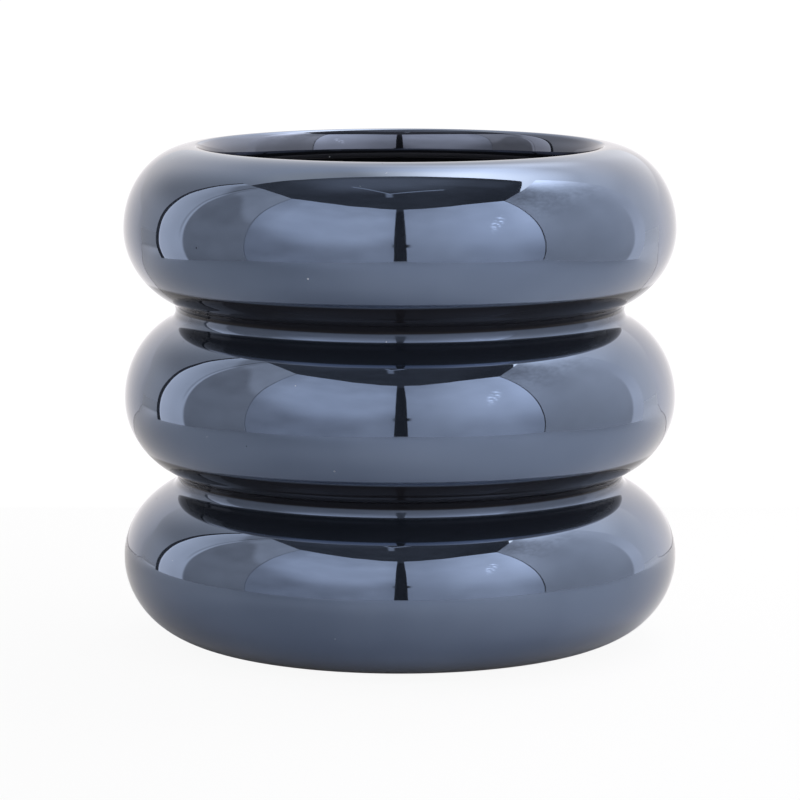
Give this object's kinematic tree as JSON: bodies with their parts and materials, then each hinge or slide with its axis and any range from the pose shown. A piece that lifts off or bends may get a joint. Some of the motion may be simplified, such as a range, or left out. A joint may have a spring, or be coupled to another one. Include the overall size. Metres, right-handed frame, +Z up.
{
  "type": "flower pot",
  "caption": "Round glazed flower pot built as fat stacked rings with deep grooves, a rolled rim, a drained floor and a lift-out drain plug.",
  "frame": {"origin": "on the pot's axis, in the plane of the pads' undersides", "axes": "+Z up out of the mouth; the pot is round, so +X and +Y are any two level directions"},
  "size_m": [0.1812, 0.1812, 0.1621],
  "materials": {
    "glaze": "mirror-gloss blue-black glaze",
    "slip": "glazed over, slightly uneven",
    "plug_silicone": "matt",
    "pad_silicone": "satin"
  },
  "bodies": {
    "pot": {"top_ring": "glaze", "middle_ring": "glaze", "bottom_ring": "glaze", "upper_slip_joint": "slip", "lower_slip_joint": "slip", "pot_floor": "glaze", "floor_slip_joint": "slip", "foot_pad_1": "pad_silicone", "foot_pad_2": "pad_silicone", "foot_pad_3": "pad_silicone", "foot_pad_4": "pad_silicone"},
    "plug": {"drain_plug": "plug_silicone"}
  },
  "joints": [
    {"name": "plug_pull", "type": "slide", "parent": "pot", "child": "plug", "axis": [0, 0, 1], "range_m": [0, 0.05]}
  ]
}
